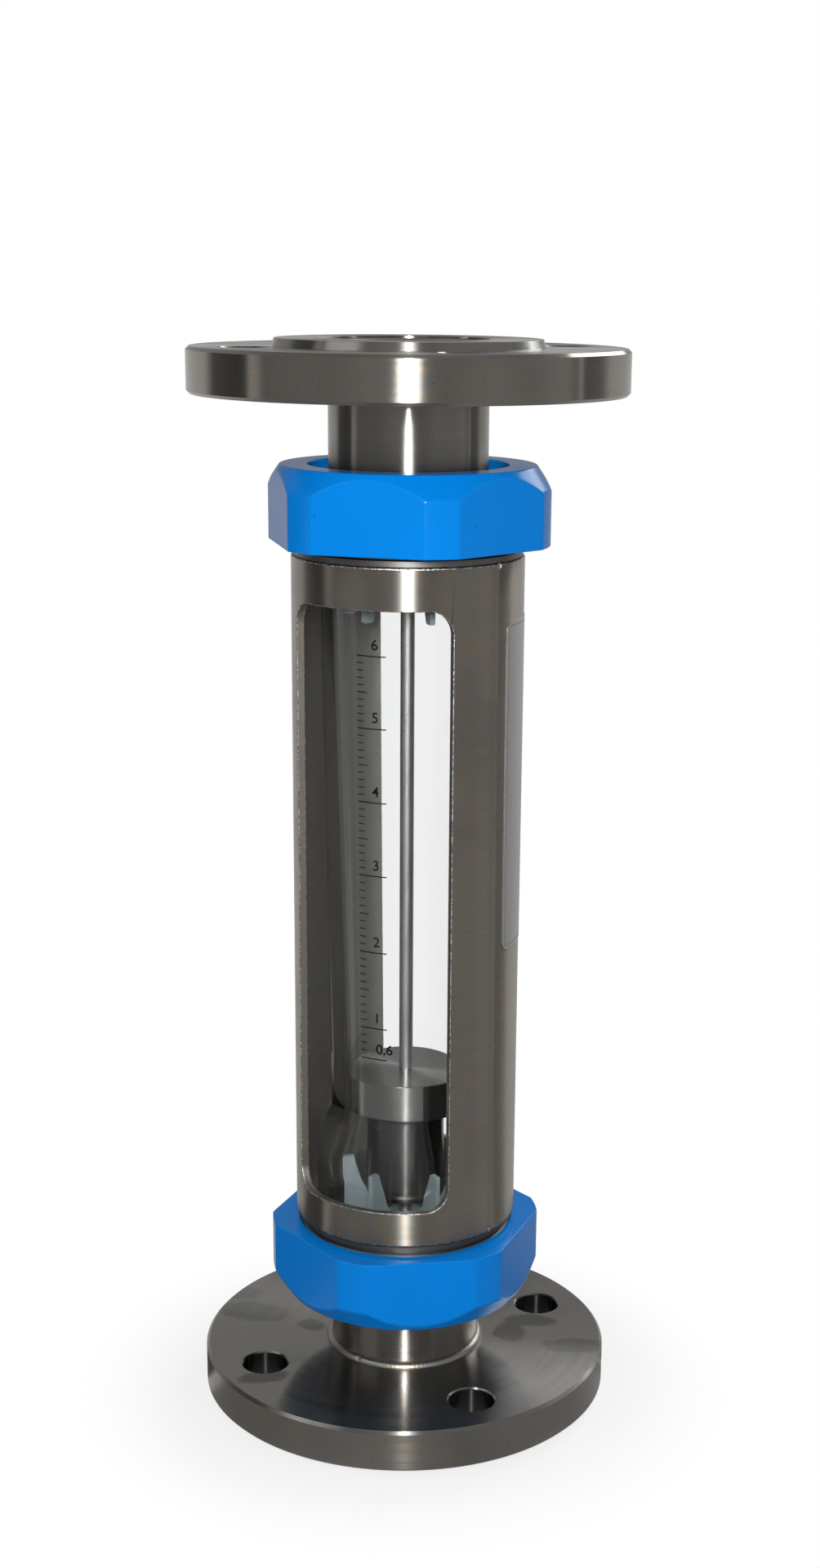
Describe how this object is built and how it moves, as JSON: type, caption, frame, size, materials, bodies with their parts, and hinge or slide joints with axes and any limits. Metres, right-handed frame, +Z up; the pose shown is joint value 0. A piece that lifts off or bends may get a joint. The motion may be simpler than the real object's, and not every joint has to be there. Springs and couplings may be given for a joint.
{
  "type": "rotameter",
  "caption": "Flanged glass-tube flow meter: a turned float slides on a guide rod inside a tapered tube, seen through windows in a steel casing held by hexagonal union nuts.",
  "frame": {"origin": "centre of the lower sealing face, on the meter's axis", "axes": "+Z up along the axis in the direction of flow, -Y out of the reading window, +X to the right of someone who reads the scale"},
  "size_m": [0.165, 0.165, 0.425],
  "materials": {
    "flange_steel": "machined stainless steel with a fine turned grain, fairly shiny",
    "weld_metal": "rippled weld bead, lightly cleaned",
    "pipe_steel": "drawn stainless pipe, lightly brushed",
    "nut_paint": "smooth blue gloss paint, softened edges",
    "ring_steel": "turned stainless steel",
    "seal_rubber": "black smooth rubber cord",
    "pin_steel": "bright ground steel",
    "stop_plastic": "pale translucent moulded plastic",
    "small_steel": "bright plain steel",
    "casing_steel": "stainless tube brushed round its axis, with bright window edges",
    "label_foil": "matt silver foil, bare apart from a thin border",
    "tube_glass": "clear borosilicate glass with a printed dark scale",
    "rod_steel": "ground bright rod",
    "float_steel": "turned and polished stainless steel"
  },
  "bodies": {
    "meter": {"lower_flange": "flange_steel", "lower_back_weld": "weld_metal", "lower_face_weld": "weld_metal", "lower_stub_pipe": "pipe_steel", "lower_union_nut": "nut_paint", "lower_thread_ring": "ring_steel", "lower_seal_ring": "seal_rubber", "lower_locating_pin": "pin_steel", "lower_float_stop": "stop_plastic", "lower_rod_nut": "small_steel", "lower_rod_washer": "small_steel", "upper_flange": "flange_steel", "upper_back_weld": "weld_metal", "upper_face_weld": "weld_metal", "upper_stub_pipe": "pipe_steel", "upper_union_nut": "nut_paint", "upper_thread_ring": "ring_steel", "upper_seal_ring": "seal_rubber", "upper_locating_pin": "pin_steel", "upper_float_stop": "stop_plastic", "upper_rod_nut": "small_steel", "upper_rod_washer": "small_steel", "casing": "casing_steel", "blank_label": "label_foil", "glass_tube": "tube_glass", "guide_rod": "rod_steel"},
    "float": {"float": "float_steel"}
  },
  "joints": [
    {"name": "float_slide", "type": "slide", "parent": "meter", "child": "float", "axis": [0, 0, 1], "range_m": [0, 0.1823]}
  ]
}
